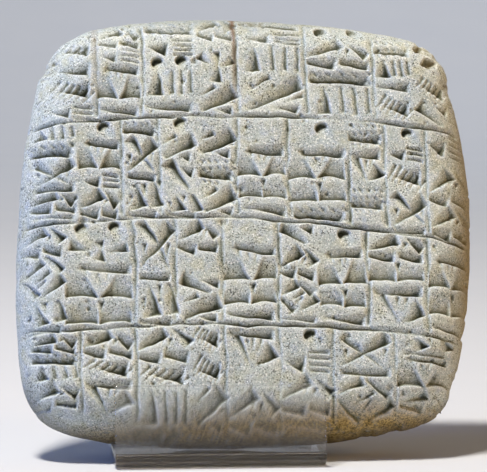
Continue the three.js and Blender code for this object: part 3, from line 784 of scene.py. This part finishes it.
def bent_path(corners, radii):
    """A line through corners, each inner one rounded: points with their headings, in the y-z plane."""
    path = [(corners[0], (corners[1] - corners[0]).normalized())]
    for before, corner, after, radius in zip(corners, corners[1:], corners[2:], radii):
        into = (corner - before).normalized()
        out = (after - corner).normalized()
        turn = math.atan2(into.x * out.y - into.y * out.x, into.dot(out))
        start = corner - into * radius * math.tan(abs(turn) / 2)
        centre = start + Vector((-into.y, into.x)) * math.copysign(radius, turn)
        for k in range(BEND_STEPS + 1):
            spin = Matrix.Rotation(turn * k / BEND_STEPS, 2)
            path.append((centre + spin @ (start - centre), spin @ into))
    path.append((corners[-1], (corners[-1] - corners[-2]).normalized()))
    return path


def make_cradle():
    corners = [
        beside_tablet(FRONT_AWAY, LIP_HEIGHT),
        TOE,
        HEEL,
        beside_tablet(BACK_AWAY, FOLD_CORNER_HEIGHT),
        Vector((HEEL.x + STRUT_REACH, 0)),
    ]
    path = bent_path(corners, (BEND_RADIUS, BEND_RADIUS, FOLD_RADIUS))
    sides = []
    for sign in (1, -1):
        edge = [point + Vector((-heading.y, heading.x)) * sign * HALF_STRIP for point, heading in path]
        heading = path[-1][1]
        edge[-1] = edge[-1] - heading * (edge[-1].y / heading.y)
        sides.append(edge)
    profile = sides[0] + sides[1][::-1]
    mesh = bmesh.new()
    ends = []
    for x in (-STRIP_WIDTH / 2, STRIP_WIDTH / 2):
        ends.append([mesh.verts.new((x * MM, (p.x + TABLET_Y) * MM, p.y * MM)) for p in profile])
    count = len(profile)
    half = count // 2
    for i in range(count):
        j = (i + 1) % count
        mesh.faces.new((ends[0][i], ends[0][j], ends[1][j], ends[1][i]))
    for end in ends:
        for i in range(half - 1):
            mesh.faces.new((end[i], end[i + 1], end[count - 2 - i], end[count - 1 - i]))
    bmesh.ops.recalc_face_normals(mesh, faces=mesh.faces)
    data = bpy.data.meshes.new("acrylic_cradle")
    mesh.to_mesh(data)
    mesh.free()
    piece = bpy.data.objects.new("acrylic_cradle", data)
    bpy.context.scene.collection.objects.link(piece)
    bevel = piece.modifiers.new("edges", "BEVEL")
    bevel.width = EDGE_BEVEL * MM
    bevel.segments = 3
    bevel.limit_method = "ANGLE"
    bevel.angle_limit = math.radians(50)
    bake_modifiers(piece)
    piece.data.name = piece.name
    for polygon in piece.data.polygons:
        polygon.use_smooth = True
    piece.data.set_sharp_from_angle(angle=math.radians(30))
    return piece


def linear(hex_colour):
    """An sRGB hex colour as linear red, green, blue and full alpha."""
    channels = [int(hex_colour[i : i + 2], 16) / 255 for i in (1, 3, 5)]
    return [c / 12.92 if c <= 0.04045 else ((c + 0.055) / 1.055) ** 2.4 for c in channels] + [1]


def add_node(tree, kind, settings=None, inputs=None):
    """A node with its settings, and its inputs set to values or linked to sockets."""
    node = tree.nodes.new(kind)
    for name, value in (settings or {}).items():
        setattr(node, name, value)
    for name, value in (inputs or {}).items():
        if isinstance(value, bpy.types.NodeSocket):
            tree.links.new(value, node.inputs[name])
        else:
            node.inputs[name].default_value = value
    return node


def new_material(name):
    material = bpy.data.materials.new(name)
    material.use_nodes = True
    tree = material.node_tree
    tree.nodes.clear()
    return material, tree


def noise(tree, coordinates, size, detail=2, roughness=0.5):
    """Noise with lumps of about that size in millimetres, from 0 to 1."""
    inputs = {"Vector": coordinates, "Scale": 1 / (size * MM), "Detail": detail, "Roughness": roughness}
    return add_node(tree, "ShaderNodeTexNoise", None, inputs).outputs["Fac"]


def step_between(tree, value, low, high, out_low=0, out_high=1):
    inputs = {"Value": value, "From Min": low, "From Max": high, "To Min": out_low, "To Max": out_high}
    return add_node(tree, "ShaderNodeMapRange", {"clamp": True}, inputs).outputs["Result"]


def mix(tree, factor, a, b, blend="MIX"):
    node = add_node(tree, "ShaderNodeMix", {"data_type": "RGBA", "blend_type": blend})
    for index, value in ((0, factor), (6, a), (7, b)):
        if isinstance(value, bpy.types.NodeSocket):
            tree.links.new(value, node.inputs[index])
        else:
            node.inputs[index].default_value = value
    return node.outputs[2]


def product(tree, a, b):
    node = add_node(tree, "ShaderNodeMath", {"operation": "MULTIPLY"})
    for index, value in ((0, a), (1, b)):
        if isinstance(value, bpy.types.NodeSocket):
            tree.links.new(value, node.inputs[index])
        else:
            node.inputs[index].default_value = value
    return node.outputs[0]


def attribute(tree, name):
    return add_node(tree, "ShaderNodeAttribute", {"attribute_name": name}).outputs["Fac"]


def dry_clay():
    """Sun-dried and baked clay, fine-grained and unglazed: matt, speckled with dark grit and mineral growth."""
    material, tree = new_material("baked_clay")
    where = add_node(tree, "ShaderNodeTexCoord").outputs["Object"]
    cool = linear("#a5b0b0")
    warm = linear("#b9c0b7")
    colour = mix(tree, step_between(tree, noise(tree, where, 14), 0.38, 0.62), cool, warm)
    colour = mix(tree, step_between(tree, noise(tree, where, 2.2, 3), 0.4, 0.75, 0, 0.5), colour, linear("#cbcdc5"))
    blotches = step_between(tree, noise(tree, where, 1.1, 4, 0.75), 0.5, 0.68, 0, 0.42)
    colour = mix(tree, blotches, colour, linear("#8f927e"))
    colour = mix(tree, step_between(tree, noise(tree, where, 3.1, 3), 0.5, 0.68, 0, 0.45), colour, linear("#b5b18c"))
    colour = mix(tree, step_between(tree, noise(tree, where, 1.9, 3), 0.52, 0.7, 0, 0.45), colour, linear("#a5b1c6"))
    pale = step_between(tree, noise(tree, where, 0.25, 1), 0.55, 0.66, 0, 0.85)
    colour = mix(tree, pale, colour, linear("#eeeee8"))
    crusty = product(tree, attribute(tree, "crust"), step_between(tree, noise(tree, where, 2, 4, 0.7), 0.2, 0.44))
    grains = step_between(tree, noise(tree, where, 0.5, 3, 0.7), 0.36, 0.6)
    crust = mix(tree, grains, linear("#54431f"), linear("#c0a468"))
    colour = mix(tree, crusty, colour, crust)
    # Grit of about a quarter of a millimetre, in drifts.
    grit = step_between(tree, noise(tree, where, 0.3, 2, 0.6), 0.54, 0.62)
    drift = step_between(tree, noise(tree, where, 4, 2), 0.35, 0.65, 0.45, 1)
    colour = mix(tree, product(tree, grit, drift), colour, linear("#3f4238"))
    colour = mix(tree, product(tree, attribute(tree, "recess"), 0.5), colour, linear("#7f7c66"))
    # Painted highlight on raised edges.
    colour = mix(tree, product(tree, attribute(tree, "rim_highlight"), 0.3), colour, linear("#eceff0"))
    # Painted shade in the low places.
    colour = mix(tree, product(tree, attribute(tree, "hollow_shade"), 0.85), colour, linear("#4b4d35"))
    colour = mix(tree, product(tree, attribute(tree, "lost"), 0.5), colour, linear("#9a927a"))
    # Painted shade on the top.
    colour = mix(tree, product(tree, attribute(tree, "top_shade"), 0.5), colour, linear("#707368"))
    colour = mix(tree, product(tree, attribute(tree, "rust"), 0.85), colour, linear("#6f4f35"))
    # Painted shade on the right side and the back.
    colour = mix(tree, product(tree, attribute(tree, "shade"), 0.75), colour, linear("#7d704f"))
    # Painted shade on the underside along the bottom edge.
    colour = mix(tree, product(tree, attribute(tree, "underside_shade"), 0.6), colour, linear("#4f4530"))
    height = mix(tree, 0.5, noise(tree, where, 0.4, 3, 0.6), noise(tree, where, 0.16, 2))
    bump = add_node(
        tree,
        "ShaderNodeBump",
        None,
        {"Strength": 0.9, "Distance": 0.16 * MM, "Height": height},
    )
    shader = add_node(
        tree,
        "ShaderNodeBsdfPrincipled",
        None,
        {
            "Base Color": colour,
            "Roughness": step_between(tree, noise(tree, where, 1.2), 0.3, 0.7, 0.82, 0.96),
            "Specular IOR Level": 0.25,
            "Normal": bump.outputs["Normal"],
        },
    )
    add_node(tree, "ShaderNodeOutputMaterial", None, {"Surface": shader.outputs["BSDF"]})
    return material


def clear_acrylic(name, colour, alpha, clearness):
    """Cast acrylic sheet, bent hot over a bar: clear and glossy, with faint handling haze. With a dark colour and
    little see-through, it is painted shade.
    """
    material, tree = new_material(name)
    where = add_node(tree, "ShaderNodeTexCoord").outputs["Object"]
    haze = step_between(tree, noise(tree, where, 9, 4, 0.65), 0.4, 0.75, 0.01, 0.06)
    shader = add_node(
        tree,
        "ShaderNodeBsdfPrincipled",
        None,
        {
            "Base Color": linear(colour),
            "Roughness": haze,
            "IOR": 1.49,
            "Transmission Weight": clearness,
            "Alpha": alpha,
        },
    )
    add_node(tree, "ShaderNodeOutputMaterial", None, {"Surface": shader.outputs["BSDF"]})
    return material


def backdrop_paper():
    """Matt white paper, swept up behind the object."""
    material, tree = new_material("backdrop_paper")
    where = add_node(tree, "ShaderNodeTexCoord").outputs["Object"]
    colour = mix(tree, noise(tree, where, 40, 3), linear("#c3c5c9"), linear("#c8c9cb"))
    shader = add_node(tree, "ShaderNodeBsdfPrincipled", None, {"Base Color": colour, "Roughness": 0.95})
    add_node(tree, "ShaderNodeOutputMaterial", None, {"Surface": shader.outputs["BSDF"]})
    return material


def make_backdrop():
    """A floor that curves up far behind the object."""
    half_width = 3
    near = -2
    bend = 1.2
    wall = 2.6
    steps = 24
    profile = [(near, 0)]
    for k in range(steps + 1):
        a = math.pi / 2 * k / steps
        profile.append((bend + bend * math.sin(a), bend - bend * math.cos(a)))
    profile.append((2 * bend, wall))
    points = [(x, y, z) for y, z in profile for x in (-half_width, half_width)]
    faces = [(2 * i, 2 * i + 1, 2 * i + 3, 2 * i + 2) for i in range(len(profile) - 1)]
    floor = new_object("backdrop", points, faces)
    for polygon in floor.data.polygons:
        polygon.use_smooth = True
    return floor


def add_light(name, place, size, power, colour, target):
    data = bpy.data.lights.new(name, "AREA")
    data.shape = "RECTANGLE"
    data.size, data.size_y = size
    data.energy = power
    data.color = linear(colour)[:3]
    lamp = bpy.data.objects.new(name, data)
    lamp.location = place
    lamp.rotation_euler = (Vector(target) - Vector(place)).to_track_quat("-Z", "Y").to_euler()
    bpy.context.scene.collection.objects.link(lamp)


def make_studio():
    middle = (0, 0, 0.045)
    add_light("key_above", (-0.2, -0.13, 0.85), (0.16, 0.1), 10.5, "#fffaf2", middle)
    add_light("cool_fill", (-0.72, -0.15, 0.26), (0.25, 0.25), 2.7, "#7aa4ff", middle)
    add_light("warm_fill", (0.68, -0.25, 0.24), (0.25, 0.25), 1.8, "#ffc870", middle)
    add_light("backdrop_wash", (0.35, 1, 1.3), (1.6, 0.4), 17, "#f4f7ff", (0.1, 2.2, 0.3))
    world = bpy.data.worlds.new("studio")
    world.use_nodes = True
    background = world.node_tree.nodes["Background"]
    background.inputs["Color"].default_value = linear("#dfe4ea")
    background.inputs["Strength"].default_value = 0.13
    bpy.context.scene.world = world
    bpy.context.scene.view_settings.view_transform = "Standard"


def make_camera():
    back = Vector(
        (
            math.sin(VIEW_AZIMUTH) * math.cos(VIEW_ELEVATION),
            -math.cos(VIEW_AZIMUTH) * math.cos(VIEW_ELEVATION),
            math.sin(VIEW_ELEVATION),
        )
    )
    right = Vector((math.cos(VIEW_AZIMUTH), math.sin(VIEW_AZIMUTH), 0))
    up = back.cross(right)
    centre = Vector((TABLET_OFFSET, TABLET_Y, SEAT))
    data = bpy.data.cameras.new("camera")
    data.lens = LENS
    data.sensor_width = SENSOR
    data.clip_start = 0.01
    data.clip_end = 20
    camera = bpy.data.objects.new("camera", data)
    camera.location = (centre + back * VIEW_DISTANCE + right * AIM_RIGHT + up * AIM_UP) * MM
    camera.rotation_mode = "QUATERNION"
    camera.rotation_quaternion = (-back).to_track_quat("-Z", "Y")
    bpy.context.scene.collection.objects.link(camera)
    bpy.context.scene.camera = camera


def dress(piece, node, materials):
    piece.data.materials.clear()
    for material in materials:
        piece.data.materials.append(material)
    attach(piece, "root")
    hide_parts(node)


make_camera()
make_studio()
dress(make_tablet(), "tablet", [dry_clay()])
# The cradle's low parts in front of its heel get a dark, nearly opaque copy of the acrylic: painted shade and a painted
# reflection of the tablet's dark underside.
sheet = clear_acrylic("clear_acrylic", "#fbfdfc", 0.28, 0.9)
painted_shade_sheet = clear_acrylic("clear_acrylic_painted_shade", "#7d7567", 0.94, 1)
cradle = make_cradle()
dress(cradle, "cradle", [sheet, painted_shade_sheet])
# Faces low in the base, in front of the heel, take the painted shade.
for polygon in cradle.data.polygons:
    if polygon.center.z < PAINTED_SHADE_HEIGHT * MM and polygon.center.y < (TABLET_Y + HEEL.x) * MM:
        polygon.material_index = 1
backdrop = make_backdrop()
backdrop.data.materials.append(backdrop_paper())
